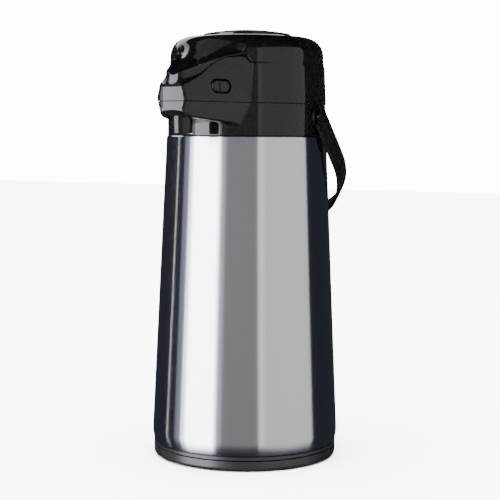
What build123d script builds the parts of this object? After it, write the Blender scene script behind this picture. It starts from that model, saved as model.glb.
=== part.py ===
"""Glass-lined pump airpot: swivel foot, steel casing, vacuum liner, plastic head with a beak, pump and handle.

Millimetres, +Z up. The origin is the centre of the underside, the beak points to -Y and the handle
hangs on the +Y side.
"""

from build123d import *
import math
import os

os.makedirs("parts", exist_ok=True)

# ---- overall sizes ----
casing_height = 271.8  # steel casing, rim to rim
casing_base_radius = 83.2  # widest point of the casing
casing_top_radius = 71.0
steel_wall = 0.6
foot_inset = 1.4  # foot inside the casing's widest point
collar_inset = 1.0  # collar inside the casing's top
collar_height = 27.4
lid_overhang = 0.6  # lid over the collar at the seam
lid_height = 58.2
button_crown = 3.7  # dome of the button above its rim
button_stand = 3.5  # rim of the button above the lid top

# ---- foot and swivel ----
pad_stand = 0.8  # rubber pad ring below the foot ring
pad_depth = 1.2  # groove of the pad ring
pad_margin = 3.0  # flat left on each side of the pad ring
foot_height = 8.6
foot_wall = 2.5
foot_edge = 3.0
swivel_gap = 0.8  # groove between the foot and the casing
swivel_hub_radius = 52.0
swivel_clearance = 0.05
hub_wall = 6.0
hub_shoulder = 1.0
bearing_sink = 2.4  # bearing face below the foot's rim
bearing_width = 9.0
glide_thickness = 1.0
flange_thickness = 2.5
retainer_thickness = 2.2
retainer_overlap = 6.0
slack = 0.1  # small flat gaps between turning pieces

# ---- casing and base cap ----
cap_band = 2.8
cap_wall = 2.5
curl_height = 7.0  # the casing's bottom edge curls in over this height
curl_depth = 2.0
bottom_lip = 5.2  # width of the in-turned bottom lip
top_roll = 1.5
top_lip = 2.5
roll_flat = 1.02  # the roll is this much flatter than a quarter circle
lip_clearance = 0.3
spigot_height = 8.0

# ---- liner ----
liner_gap = 4.4  # glass to casing at the casing's top
glass_wall = 1.8
vacuum_gap = 6.0
liner_lift = 11.0  # glass bottom above the casing's bottom
neck_radius = 33.0
neck_bore = 27.0
neck_length = 20.0
lip_stand = 7.2  # mouth of the liner above the casing
shoulder_drop = 32.0
base_corner = 38.0
shoulder_corner = 22.0
neck_corner = 8.0
tip_radius = 3.5
tip_length = 6.0
tip_taper = 20
spacer_height = 9.0
spacer_arc = 9.0
spacer_slack = 0.05
cup_slack = 0.2
cup_wall = 2.5
cup_floor_lift = 1.0
cushion_height = 7.5
cushion_radius = 26.0
cushion_bore = 7.0
gasket_inner = 37.0
gasket_outer = 44.0
gasket_thickness = 5.0
gasket_slack = 0.3

# ---- collar and beak ----
head_wall = 2.6
deck_lift = 1.2
deck_thickness = 2.5
seam_gap = 0.6
beak_length = 49.6  # front of the beak from the collar
beak_tip_half = 14.8
beak_root_angle = 34.57  # degrees from the front, where the sides meet the collar
beak_bulge = 1.8  # front face bows out
beak_corner = 4.5
beak_overhang = 0.4  # upper half stands proud of the lower
beak_ease = 1.0  # thicker wall at the turns of the side profile
least_corner = 1.0
beak_low_front = 8.5  # lower edge of the front face, below the seam
beak_low_tip = 15.6  # underside at the tip, below the seam
beak_low_root = 20.5
beak_low_run = 7.0
beak_high_front = 12.0  # upper edge of the front face, above the seam
beak_high_tip = 19.0
beak_high_mid = 26.5
beak_high_root = 41.0
beak_high_run = 8.0
beak_mid_length = 17.0  # break of the top profile from the collar
cover_thickness = 2.5
cover_slack = 0.25
beak_floor = 2.4

# ---- pouring path ----
tube_radius = 4.5
tube_bore = 3.3
tube_lift = 5.0  # end of the dip tube above the liner's floor
plug_wall = 2.0
plug_slack = 0.5
plug_depth = 10.0
head_flange_radius = 31.5
head_flange = 2.5
tube_gasket_thickness = 1.5
riser_radius = 8.0
riser_roof = 2.0
seat_sink = 1.0  # seat below the top of the head's flange
seat_height = 2.0
seat_bore = 2.2
ball_radius = 3.4
ball_lift = 3.0
ball_slack = 0.05
ball_room = 0.96  # above the lifted ball
pipe_radius = 5.0
pipe_bore = 3.0
pipe_wall = 1.6  # of the socket round the pipe
pipe_socket = 4.0
pipe_sink = 2.0
pipe_drop = 8.0  # pipe centre below the seam
air_port_offset = 17.0
air_port_radius = 9.0
air_port_bore = 4.6
air_port_drop = 4.6  # top of the air port below the seam
nozzle_setback = 16.6  # from the front of the beak
nozzle_radius = 9.2
nozzle_mouth_radius = 8.6
nozzle_bore = 6.2
nozzle_drop = 26.5  # mouth of the nozzle below the seam

# ---- lid, pump and button ----
lid_draft = 2.8  # the lid's wall leans in by this over its height
lid_shoulder = 16.0
plate_lift = 3.4
plate_thickness = 2.5
plate_slack = 0.5
lid_gasket_thickness = 2.5
button_radius = 38.8
button_wall = 2.2
button_travel = 25.0
skirt_room = 3.3  # under the skirt of the pressed button
well_gap = 1.2
well_wall = 2.5
well_lift = 2.5  # lower end of the well above the lid plate
guide_clearance = 0.08
guide_height = 3.0
stop_width = 0.7
stop_height = 1.6
bellows_radius = 31.0
bellows_valley = 24.0
bellows_wall = 1.2
bellows_pleats = 5
bellows_drop = 12.8  # top of the bellows below the button's rim
bellows_rim = 1.0
bellows_plate_thickness = 2.5
stem_radius = 16.5
valve_flap_radius = 8.0
valve_flap_thickness = 1.0
air_hole = 3.0
spring_radius = 12.0
spring_wire = 2.0
spring_turns = 5.5
spring_slack = 0.2

# ---- hinge ----
hinge_stand = 5.2  # hinge axis behind the collar
hinge_drop = 3.5  # hinge axis below the seam
knuckle_radius = 4.5
knuckle_half = 11.7
knuckle_gap = 0.3
knuckle_outer = 22.0
web_ease = 1.0
hinge_pin_radius = 2.0
hinge_clearance = 0.05
pin_head_radius = 3.0
pin_head = 1.2

# ---- handle ----
handle_pivot_drop = 11.0  # below the seam
handle_gap = 2.5  # collar to the inside of the strap
handle_arm = 49.6
handle_rest = 1.06  # lower edge of the hanging bow off the casing
strap_width = 19.5
strap_thickness = 3.0
boss_radius = 8.2
boss_gap = 0.3
boss_depth = 10.0
pivot_radius = 3.0
pivot_clearance = 0.06
pivot_head_radius = 5.5
pivot_head = 1.0
pivot_sink = 1.2
fixed_fit = 0.03  # radial gap of a pin that stays put

# ---- latch buttons ----
latch_setback = 34.4  # from the front of the beak
latch_lift = 12.5  # above the seam
latch_length = 18.8
latch_width = 10.6
latch_slack = 0.4
latch_proud = 1.0
latch_depth = 6.0
latch_travel = 2.5
latch_leg_length = 8.0
latch_leg = 2.2
latch_leg_drop = 5.0  # below the seam
latch_leg_rise = 3.0  # above the button's middle
leg_gap = 0.3
tooth = 1.2
latch_rib = 2.0
rib_drop = 4.0
rib_rise = 3.0
latch_spring_length = 4.5
latch_spring_radius = 2.6
latch_spring_wire = 0.5
latch_spring_turns = 4

# ---- screws ----
screw_radius = 1.5
screw_head_radius = 2.9
screw_head = 1.8
screw_length = 9.0
cross_length = 3.5
cross_width = 0.7
cross_depth = 1.0
retainer_screw_count = 4
lid_screw_count = 4
lid_screw_gap = 10.5  # screw axis outside the well
lid_boss_radius = 4.0
cover_screw_setback = 47.6  # from the front of the beak
cover_screw_side = 22.0

# ---- levels and derived sizes ----
foot_radius = casing_base_radius - foot_inset
collar_radius = casing_top_radius - collar_inset
lid_radius = collar_radius + lid_overhang
hub_bore = swivel_hub_radius - hub_wall
beak_reach = collar_radius + beak_length
beak_mid_reach = collar_radius + beak_mid_length
root_turn = math.radians(beak_root_angle)
beak_root = (collar_radius - head_wall / 2) * math.cos(root_turn)
beak_root_half = (collar_radius - head_wall / 2) * math.sin(root_turn)
spread = math.atan2(beak_root_half - beak_tip_half, beak_reach - beak_root)
latch_reach = beak_reach - latch_setback
nozzle_reach = beak_reach - nozzle_setback
cover_screw_reach = beak_reach - cover_screw_setback
well_radius = button_radius + well_gap
lid_screw_circle = well_radius + well_wall + lid_screw_gap
hinge_reach = collar_radius + hinge_stand
handle_radius = collar_radius + handle_gap + strap_thickness / 2
foot_top = pad_stand + foot_height
cap_low = foot_top + swivel_gap
casing_low = cap_low + cap_band
casing_high = casing_low + casing_height
collar_high = casing_high + collar_height
seam = collar_high + seam_gap / 2
lid_low = collar_high + seam_gap
lid_high = lid_low + lid_height
flange_high = foot_top - bearing_sink
flange_low = flange_high - flange_thickness
retainer_high = flange_low - slack
glide_high = flange_high + glide_thickness
liner_radius = casing_top_radius - steel_wall - liner_gap
liner_low = casing_low + liner_lift
liner_high = casing_high + lip_stand
neck_low = liner_high - neck_length
shoulder_low = neck_low - shoulder_drop
shoulder_slope = shoulder_drop / (liner_radius - neck_radius)
deck_low = casing_high + deck_lift
deck_high = deck_low + deck_thickness
head_flange_low = liner_high + tube_gasket_thickness
head_flange_high = head_flange_low + head_flange
pipe_level = seam - pipe_drop
plate_low = lid_low + plate_lift
plate_high = plate_low + plate_thickness
air_port_high = seam - air_port_drop
button_rim = lid_high + button_stand
skirt_low = plate_high + skirt_room + button_travel
bellows_high = button_rim - bellows_drop
hinge_level = seam - hinge_drop
pivot_level = seam - handle_pivot_drop


def ring(inner, outer, low, high, mode=Mode.ADD):
    """Round plate or tube about the axis, added to the part being built."""
    with BuildPart() as body:
        with BuildSketch(Plane.XY.offset(low)):
            Circle(outer)
            if inner > 0:
                Circle(inner, mode=Mode.SUBTRACT)
        extrude(amount=high - low)
    add(body.part, mode=mode)


def turned(points, corners, mode=Mode.ADD):
    """Solid of revolution from (radius, height) points, with some of its corners rounded."""
    with BuildPart() as body:
        with BuildSketch(Plane.XZ) as profile:
            with BuildLine():
                Polyline(*points, close=True)
            make_face()
            for index, radius in corners.items():
                fillet(profile.vertices().sort_by_distance((*points[index], 0))[0], radius)
        revolve(axis=Axis.Z)
    add(body.part, mode=mode)


def casing_radius(height):
    """Outer radius of the casing's cone at a height."""
    share = (height - casing_low - curl_height) / (casing_height - curl_height)
    return casing_base_radius + (casing_top_radius - casing_base_radius) * share


def beak_half(forward, inset):
    """Half width of the beak at a distance forward of the axis, drawn in by a wall."""
    return beak_tip_half + (beak_reach - forward) * math.tan(spread) - inset / math.cos(spread)


def beak_block(inset, profile_points):
    """Beak with a bowed front and spreading sides, cut to a side profile of (forward, height) points."""
    low = min(height for _, height in profile_points)
    high = max(height for _, height in profile_points)
    front = beak_reach - beak_bulge - inset
    tip = beak_half(front, inset)
    root = beak_half(beak_root, inset)
    with BuildPart() as block:
        with BuildSketch(Plane.XY.offset(low)):
            with BuildLine():
                ThreePointArc((-tip, -front), (0, inset - beak_reach), (tip, -front))
                Polyline((tip, -front), (root, -beak_root), (-root, -beak_root), (-tip, -front))
            make_face()
        extrude(amount=high - low)
        corners = block.edges().filter_by(Axis.Z).group_by(Axis.Y)[0]
        fillet(corners, max(beak_corner - inset, least_corner))
        with BuildSketch(Plane.YZ):
            with BuildLine():
                Polyline(*[(-forward, height) for forward, height in profile_points], close=True)
            make_face()
        extrude(amount=2 * beak_reach, both=True, mode=Mode.INTERSECT)
    return block.part


def coil(radius, wire, low, high, turns):
    """Compression spring with round wire, standing on a height."""
    with BuildPart() as spring:
        with BuildLine() as path:
            Helix((high - low - wire) / turns, high - low - wire, radius, center=(0, 0, low + wire / 2))
        with BuildSketch(Plane(path.line @ 0, z_dir=path.line % 0)):
            Circle(wire / 2)
        sweep(path=path.line, is_frenet=True)
    return spring.part


# ---- foot: swivel ring, pad ring and glide ring ----
foot_inner = swivel_hub_radius
foot_step = swivel_hub_radius + bearing_width + hub_shoulder
pad_inner = foot_step + pad_margin
pad_outer = foot_radius - foot_edge - pad_margin

with BuildPart() as foot_ring:
    turned(
        [
            (foot_step, pad_stand),
            (foot_radius, pad_stand),
            (foot_radius, foot_top),
            (foot_radius - foot_wall, foot_top),
            (foot_radius - foot_wall, pad_stand + foot_wall),
            (foot_step + foot_wall, pad_stand + foot_wall),
            (foot_step + foot_wall, flange_high),
            (foot_inner, flange_high),
            (foot_inner, flange_low),
            (foot_step, flange_low),
        ],
        {1: foot_edge},
    )
    ring(pad_inner, pad_outer, pad_stand, pad_stand + pad_depth, Mode.SUBTRACT)

foot_ring.part.label = "foot_ring"
export_step(foot_ring.part, "parts/foot_ring.step")

with BuildPart() as foot_pad_ring:
    ring(pad_inner + slack, pad_outer - slack, 0, pad_stand + pad_depth)

foot_pad_ring.part.label = "foot_pad_ring"
export_step(foot_pad_ring.part, "parts/foot_pad_ring.step")

with BuildPart() as glide_ring:
    ring(foot_inner + hub_shoulder, foot_inner + bearing_width, flange_high, glide_high)

glide_ring.part.label = "glide_ring"
export_step(glide_ring.part, "parts/glide_ring.step")

# ---- base cap with the swivel hub and the socket of the liner cup ----
spigot_radius = casing_radius(casing_low + curl_height) - curl_depth - bottom_lip - lip_clearance
hub_radius = swivel_hub_radius - swivel_clearance
socket_high = casing_low + spigot_height + curl_height

with BuildPart() as base_cap:
    ring(hub_bore, foot_radius, cap_low, casing_low)
    ring(spigot_radius - cap_wall, spigot_radius, casing_low, casing_low + spigot_height)
    ring(hub_bore, hub_bore + cap_wall, casing_low, socket_high)
    ring(hub_bore, hub_radius, retainer_high, cap_low)
    ring(foot_inner + hub_shoulder, foot_inner + bearing_width, glide_high, cap_low)
    with BuildSketch(Plane.XY.offset(retainer_high)):
        with PolarLocations((hub_bore + hub_radius) / 2, retainer_screw_count):
            Circle(screw_radius)
    extrude(amount=screw_length - retainer_thickness, mode=Mode.SUBTRACT)

base_cap.part.label = "base_cap"
export_step(base_cap.part, "parts/base_cap.step")

# ---- retainer that holds the foot on, and its screws ----
with BuildPart() as swivel_retainer:
    ring(hub_bore, hub_radius + retainer_overlap, retainer_high - retainer_thickness, retainer_high)
    with BuildSketch(Plane.XY.offset(retainer_high)):
        with PolarLocations((hub_bore + hub_radius) / 2, retainer_screw_count):
            Circle(screw_radius)
    extrude(amount=-retainer_thickness, mode=Mode.SUBTRACT)

swivel_retainer.part.label = "swivel_retainer"
export_step(swivel_retainer.part, "parts/swivel_retainer.step")


def screws(points, seat, up):
    """Pan-head screws: shanks from the seat, heads behind it, up for screws that point to +Z."""
    side = 1 if up else -1
    with BuildPart() as group:
        with BuildSketch(Plane.XY.offset(seat)):
            with Locations(*points):
                Circle(screw_radius - fixed_fit)
        extrude(amount=side * (screw_length - slack))
        with BuildSketch(Plane.XY.offset(seat)):
            with Locations(*points):
                Circle(screw_head_radius)
        extrude(amount=-side * screw_head)
        with BuildSketch(Plane.XY.offset(seat - side * screw_head)):
            with Locations(*points):
                Rectangle(cross_length, cross_width)
                Rectangle(cross_width, cross_length)
        extrude(amount=side * cross_depth, mode=Mode.SUBTRACT)
    return group


def around(radius, count, start=0.0):
    """Points spread evenly round the axis."""
    turns = [start + 2 * math.pi * k / count for k in range(count)]
    return [(radius * math.cos(turn), radius * math.sin(turn)) for turn in turns]


retainer_screws = screws(
    around((hub_bore + hub_radius) / 2, retainer_screw_count), retainer_high - retainer_thickness, True
)
retainer_screws.part.label = "retainer_screws"
export_step(retainer_screws.part, "parts/retainer_screws.step")

# ---- steel casing: one drawn sheet, curled in at the bottom and rolled at the top ----
curl_radius = (curl_height**2 + curl_depth**2) / (2 * curl_depth)


def casing_skin(inset, mode=Mode.ADD):
    """Body of the casing, drawn in by the sheet's thickness."""
    low = casing_low + inset
    wide = casing_low + curl_height
    high = casing_high - inset
    roll = top_roll - inset
    with BuildPart() as body:
        with BuildSketch(Plane.XZ):
            with BuildLine():
                Line((0, low), (casing_base_radius - curl_depth - inset, low))
                RadiusArc(
                    (casing_base_radius - curl_depth - inset, low),
                    (casing_base_radius - inset, wide),
                    -curl_radius,
                )
                Line((casing_base_radius - inset, wide), (casing_top_radius - inset, high - roll))
                RadiusArc(
                    (casing_top_radius - inset, high - roll),
                    (casing_top_radius - inset - roll, high),
                    -roll * roll_flat,
                )
                Polyline((casing_top_radius - inset - roll, high), (0, high), (0, low))
            make_face()
        revolve(axis=Axis.Z)
    add(body.part, mode=mode)


with BuildPart() as steel_shell:
    casing_skin(0)
    casing_skin(steel_wall, Mode.SUBTRACT)
    ring(0, spigot_radius + lip_clearance, casing_low, casing_low + steel_wall, Mode.SUBTRACT)
    ring(0, casing_top_radius - top_roll - top_lip, casing_high - steel_wall, casing_high, Mode.SUBTRACT)

steel_shell.part.label = "steel_shell"
export_step(steel_shell.part, "parts/steel_shell.step")

# ---- liner: two glass bulbs joined at the mouth ----
corner_shift = math.tan(math.atan2(liner_radius - neck_radius, shoulder_drop) / 2)


def bulb(inset, neck, top):
    """Outline of a glass bulb, drawn in by inset from the liner's outside, up to a height."""
    return [
        (0, liner_low + inset),
        (liner_radius - inset, liner_low + inset),
        (liner_radius - inset, shoulder_low - inset * corner_shift),
        (neck, neck_low - inset * corner_shift),
        (neck, top),
        (0, top),
    ]


def bulb_corners(inset):
    """Corner radii that stay concentric as the outline is drawn in."""
    return {1: base_corner - inset, 2: shoulder_corner - inset, 3: neck_corner + inset}


inner_inset = glass_wall + vacuum_gap
inner_neck = neck_bore + glass_wall
rim_low = liner_high - glass_wall

with BuildPart() as liner_outer_bulb:
    turned(bulb(0, neck_radius, rim_low), bulb_corners(0))
    turned(bulb(glass_wall, neck_radius - glass_wall, rim_low), bulb_corners(glass_wall), Mode.SUBTRACT)
    with BuildSketch(Plane.XY.offset(liner_low + slack)):
        Circle(tip_radius)
    extrude(amount=-tip_length, taper=tip_taper)

liner_outer_bulb.part.label = "liner_outer_bulb"
export_step(liner_outer_bulb.part, "parts/liner_outer_bulb.step")

with BuildPart() as liner_inner_bulb:
    turned(bulb(inner_inset, inner_neck, rim_low), bulb_corners(inner_inset))
    ring(0, neck_radius, rim_low, liner_high)
    turned(
        bulb(inner_inset + glass_wall, neck_bore, rim_low),
        bulb_corners(inner_inset + glass_wall),
        Mode.SUBTRACT,
    )
    ring(0, neck_bore, rim_low - glass_wall, liner_high, Mode.SUBTRACT)

liner_inner_bulb.part.label = "liner_inner_bulb"
export_step(liner_inner_bulb.part, "parts/liner_inner_bulb.step")

with BuildPart() as liner_spacers:
    with BuildSketch(Plane.XZ):
        with Locations(
            (liner_radius - glass_wall - vacuum_gap / 2, liner_low + base_corner + spacer_height)
        ):
            Rectangle(vacuum_gap - 2 * spacer_slack, spacer_height)
    revolve(axis=Axis.Z, revolution_arc=spacer_arc)

spacer_ring = [Rot(0, 0, 120 * k) * liner_spacers.part for k in range(3)]
spacer_group = Compound(label="liner_spacers", children=spacer_ring)
export_step(spacer_group, "parts/liner_spacers.step")

# ---- liner cup, cushion and neck gasket ----
cushion_low = liner_low - cushion_height
cup_low = retainer_high + cup_floor_lift
cup_radius = hub_bore - cup_slack

with BuildPart() as liner_cup:
    ring(cup_radius - cup_wall, cup_radius, cup_low, cushion_low + cushion_height / 2)
    ring(0, cup_radius, cushion_low - cup_wall, cushion_low)
    with BuildSketch(Plane.XY.offset(cup_low)):
        Rectangle(2 * cup_radius - cup_wall, cup_wall)
    extrude(amount=cushion_low - cup_low)

liner_cup.part.label = "liner_cup"
export_step(liner_cup.part, "parts/liner_cup.step")

with BuildPart() as liner_cushion:
    ring(cushion_bore, cushion_radius, cushion_low, liner_low)

liner_cushion.part.label = "liner_cushion"
export_step(liner_cushion.part, "parts/liner_cushion.step")


def shoulder_level(radius):
    """Height of the outer bulb's sloping shoulder at a radius."""
    return neck_low - (radius - neck_radius) * shoulder_slope


with BuildPart() as neck_gasket:
    turned(
        [
            (gasket_inner, shoulder_level(gasket_inner) + gasket_slack),
            (gasket_outer, shoulder_level(gasket_outer) + gasket_slack),
            (gasket_outer, shoulder_level(gasket_outer) + gasket_thickness),
            (gasket_inner, shoulder_level(gasket_inner) + gasket_thickness),
        ],
        {},
    )

neck_gasket.part.label = "neck_gasket"
export_step(neck_gasket.part, "parts/neck_gasket.step")

# ---- collar with the lower half of the beak ----
low_front = beak_reach - beak_overhang
cover_points = [(side * cover_screw_side, -cover_screw_reach) for side in (-1, 1)]
low_profile = [
    (low_front, collar_high),
    (low_front, seam - beak_low_front),
    (low_front - beak_low_run, seam - beak_low_tip),
    (beak_root, seam - beak_low_root),
    (beak_root, collar_high),
]
core_profile = [
    (low_front - head_wall, collar_high),
    (low_front - head_wall, seam - beak_low_front + beak_ease),
    (low_front - beak_low_run - beak_ease, seam - beak_low_tip + beak_floor),
    (beak_root, seam - beak_low_root + beak_floor),
    (beak_root, collar_high),
]
low_beak = beak_block(beak_overhang, low_profile)
low_beak_core = beak_block(beak_overhang + head_wall, core_profile)
sides = (-1, 1)

with BuildPart() as collar:
    add(low_beak)
    ring(0, collar_radius, casing_high, collar_high)
    ring(0, collar_radius - head_wall, deck_high, collar_high, Mode.SUBTRACT)
    ring(
        0,
        casing_top_radius - top_roll - top_lip - lip_clearance,
        casing_high - spigot_height,
        casing_high,
    )
    ring(
        0,
        casing_top_radius - top_roll - top_lip - lip_clearance - head_wall,
        casing_high - spigot_height,
        deck_low,
        Mode.SUBTRACT,
    )
    turned(
        [
            (gasket_inner, shoulder_level(gasket_inner) + gasket_thickness),
            (gasket_outer, shoulder_level(gasket_outer) + gasket_thickness),
            (gasket_outer, deck_high),
            (gasket_inner, deck_high),
        ],
        {},
    )
    ring(0, gasket_inner, deck_low, deck_high, Mode.SUBTRACT)
    add(low_beak_core, mode=Mode.SUBTRACT)
    with BuildSketch(Plane.XY.offset(seam - beak_low_root - slack)):
        with Locations((0, -nozzle_reach)):
            Circle(nozzle_radius + slack)
    extrude(amount=beak_low_root, mode=Mode.SUBTRACT)
    with BuildSketch(Plane.XY.offset(seam - beak_low_root + beak_floor / 2)):
        with Locations(*cover_points):
            Circle(lid_boss_radius)
    extrude(amount=collar_high - cover_thickness - seam + beak_low_root - beak_floor / 2)
    with BuildSketch(Plane.XY.offset(collar_high - cover_thickness)):
        with Locations(*cover_points):
            Circle(screw_radius)
    extrude(amount=cover_thickness - screw_head - screw_length, mode=Mode.SUBTRACT)
    for side in sides:
        with BuildSketch(Plane.YZ.offset(side * (collar_radius - boss_depth))):
            with Locations((0, pivot_level)):
                Circle(boss_radius)
        extrude(amount=side * (handle_radius - strap_thickness / 2 - boss_gap - collar_radius + boss_depth))
        with BuildSketch(Plane.YZ.offset(side * (collar_radius - boss_depth))):
            with Locations((0, pivot_level)):
                Circle(pivot_radius)
        extrude(amount=side * 2 * boss_depth, mode=Mode.SUBTRACT)
        with BuildSketch(Plane.YZ.offset(side * knuckle_outer)):
            with Locations((hinge_reach, hinge_level)):
                Circle(knuckle_radius)
            with Locations(((hinge_reach + collar_radius - head_wall) / 2, hinge_level - web_ease)):
                Rectangle(hinge_reach - collar_radius + head_wall, 2 * (knuckle_radius - web_ease))
            with Locations((hinge_reach, hinge_level)):
                Circle(hinge_pin_radius + fixed_fit, mode=Mode.SUBTRACT)
        extrude(amount=-side * (knuckle_outer - knuckle_half - knuckle_gap))

collar.part.label = "collar"
export_step(collar.part, "parts/collar.step")

# ---- beak cover, nozzle and pouring path ----
seat_low = head_flange_high - seat_sink
seat_high = seat_low + seat_height
liner_floor = liner_low + inner_inset + glass_wall
ball_level = seat_high + math.sqrt(ball_radius**2 - seat_bore**2) + ball_slack
riser_bore_high = ball_level + ball_radius + ball_lift + ball_room
riser_high = riser_bore_high + riser_roof
plug_radius = neck_bore - plug_slack
socket_reach = riser_radius + pipe_socket
pipe_start = riser_radius - pipe_sink
cover_low = collar_high - cover_thickness
cover_edge = beak_overhang + head_wall + cover_slack
latch_origin = (beak_half(latch_reach, 0), -latch_reach, seam + latch_lift)
latch_plane = Plane(
    origin=latch_origin,
    x_dir=(math.sin(spread), math.cos(spread), 0),
    z_dir=(math.cos(spread), -math.sin(spread), 0),
)

with BuildPart() as cover_slot:
    with BuildSketch(latch_plane.offset(-latch_depth + tooth + leg_gap)):
        with Locations((0, -latch_lift)):
            Rectangle(latch_leg_length + 2 * leg_gap, 4 * cover_thickness)
    extrude(amount=-(tooth + latch_leg + latch_travel + 2 * leg_gap))

with BuildPart() as beak_cover:
    cover_profile = [
        (low_front, cover_low),
        (low_front, collar_high),
        (beak_root + beak_ease, collar_high),
        (beak_root + beak_ease, cover_low),
    ]
    add(beak_block(cover_edge, cover_profile))
    add(cover_slot.part, mode=Mode.SUBTRACT)
    add(mirror(cover_slot.part, about=Plane.YZ), mode=Mode.SUBTRACT)
    with BuildSketch(Plane.XY.offset(collar_high)):
        with Locations(*cover_points):
            Circle(screw_head_radius + slack)
    extrude(amount=-screw_head, mode=Mode.SUBTRACT)
    with BuildSketch(Plane.XY.offset(collar_high)):
        with Locations(*cover_points):
            Circle(screw_radius)
    extrude(amount=-cover_thickness, mode=Mode.SUBTRACT)

beak_cover.part.label = "beak_cover"
export_step(beak_cover.part, "parts/beak_cover.step")

cover_screws = screws(cover_points, collar_high - screw_head, False)
cover_screws.part.label = "cover_screws"
export_step(cover_screws.part, "parts/cover_screws.step")

with BuildPart() as tube_head:
    ring(0, plug_radius, liner_high - plug_depth, head_flange_low)
    ring(tube_radius + plug_wall, plug_radius - plug_wall, liner_high - plug_depth, liner_high, Mode.SUBTRACT)
    ring(0, head_flange_radius, head_flange_low, head_flange_high)
    ring(0, riser_radius, head_flange_high, riser_high)
    with BuildSketch(Plane.XY.offset(liner_high - plug_depth)):
        with Locations((0, air_port_offset)):
            Circle(air_port_bore + plug_wall)
    extrude(amount=plug_depth)
    with BuildSketch(Plane.XY.offset(head_flange_high)):
        with Locations((0, air_port_offset)):
            Circle(air_port_radius)
    extrude(amount=air_port_high - head_flange_high)
    with BuildSketch(Plane.XZ):
        with Locations((0, pipe_level)):
            Circle(pipe_radius + pipe_wall)
    extrude(amount=socket_reach)
    with BuildSketch(Plane.XY.offset(liner_high - plug_depth)):
        Circle(tube_radius)
    extrude(amount=riser_bore_high - liner_high + plug_depth, mode=Mode.SUBTRACT)
    with BuildSketch(Plane.XY.offset(liner_high - plug_depth)):
        with Locations((0, air_port_offset)):
            Circle(air_port_bore)
    extrude(amount=air_port_high - liner_high + plug_depth, mode=Mode.SUBTRACT)
    with BuildSketch(Plane.XZ):
        with Locations((0, pipe_level)):
            Circle(pipe_bore)
    extrude(amount=socket_reach, mode=Mode.SUBTRACT)
    with BuildSketch(Plane.XZ.offset(pipe_start)):
        with Locations((0, pipe_level)):
            Circle(pipe_radius)
    extrude(amount=socket_reach, mode=Mode.SUBTRACT)

tube_head.part.label = "tube_head"
export_step(tube_head.part, "parts/tube_head.step")

with BuildPart() as tube_gasket:
    ring(plug_radius + slack, head_flange_radius, liner_high, head_flange_low)

tube_gasket.part.label = "tube_gasket"
export_step(tube_gasket.part, "parts/tube_gasket.step")

with BuildPart() as dip_tube:
    ring(tube_bore, tube_radius - fixed_fit, liner_floor + tube_lift, seat_low)

dip_tube.part.label = "dip_tube"
export_step(dip_tube.part, "parts/dip_tube.step")

with BuildPart() as valve_seat:
    ring(seat_bore, tube_radius - fixed_fit, seat_low, seat_high)

valve_seat.part.label = "valve_seat"
export_step(valve_seat.part, "parts/valve_seat.step")

with BuildPart() as valve_ball:
    with Locations((0, 0, ball_level)):
        Sphere(ball_radius)

valve_ball.part.label = "valve_ball"
export_step(valve_ball.part, "parts/valve_ball.step")

pipe_end = nozzle_reach - nozzle_bore

with BuildPart() as outlet_pipe:
    with BuildSketch(Plane.XZ.offset(pipe_start + slack)):
        with Locations((0, pipe_level)):
            Circle(pipe_radius - fixed_fit)
            Circle(pipe_bore, mode=Mode.SUBTRACT)
    extrude(amount=pipe_end - pipe_start - slack)

outlet_pipe.part.label = "outlet_pipe"
export_step(outlet_pipe.part, "parts/outlet_pipe.step")

nozzle_low = seam - nozzle_drop
nozzle_high = cover_low - slack
nozzle_neck = seam - beak_low_tip

with BuildPart() as nozzle_body:
    turned(
        [
            (nozzle_bore, nozzle_low),
            (nozzle_mouth_radius, nozzle_low),
            (nozzle_radius, nozzle_neck),
            (nozzle_radius, nozzle_high),
            (0, nozzle_high),
            (0, pipe_level + pipe_bore),
            (nozzle_bore, pipe_level + pipe_bore),
        ],
        {},
    )

with BuildPart() as nozzle:
    with Locations((0, -nozzle_reach, 0)):
        add(nozzle_body.part)
    with BuildSketch(Plane.XZ.offset(pipe_end)):
        with Locations((0, pipe_level)):
            Circle(pipe_radius)
    extrude(amount=-2 * nozzle_radius, mode=Mode.SUBTRACT)

nozzle.part.label = "nozzle"
export_step(nozzle.part, "parts/nozzle.step")

# ---- lid with the upper half of the beak ----
high_profile = [
    (beak_reach, lid_low),
    (beak_reach, seam + beak_high_front),
    (beak_reach - beak_high_run, seam + beak_high_tip),
    (beak_mid_reach, seam + beak_high_mid),
    (beak_root, seam + beak_high_root),
    (beak_root, lid_low),
]
hollow_profile = [
    (beak_reach - head_wall, lid_low),
    (beak_reach - head_wall, seam + beak_high_front - beak_ease),
    (beak_reach - beak_high_run - beak_ease, seam + beak_high_tip - head_wall),
    (beak_mid_reach, seam + beak_high_mid - head_wall),
    (beak_root, seam + beak_high_root - head_wall),
    (beak_root, lid_low),
]
high_beak = beak_block(0, high_profile)
high_beak_core = beak_block(head_wall, hollow_profile)
lid_top_radius = lid_radius - lid_draft
well_low = plate_high + well_lift
boss_points = around(lid_screw_circle, lid_screw_count, math.pi / 4)
rib_depth = latch_depth + latch_leg + latch_spring_length + slack
rib_height = beak_high_mid - latch_lift + rib_rise

with BuildPart() as latch_rib_block:
    with BuildSketch(latch_plane.offset(-rib_depth)):
        with Locations((0, rib_height / 2 - rib_drop)):
            Rectangle(latch_leg_length, rib_height)
    extrude(amount=-latch_rib)

with BuildPart() as latch_hole:
    with BuildSketch(latch_plane.offset(-head_wall - beak_ease)):
        SlotOverall(latch_length + 2 * latch_slack, latch_width + 2 * latch_slack)
    extrude(amount=2 * head_wall)

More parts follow.
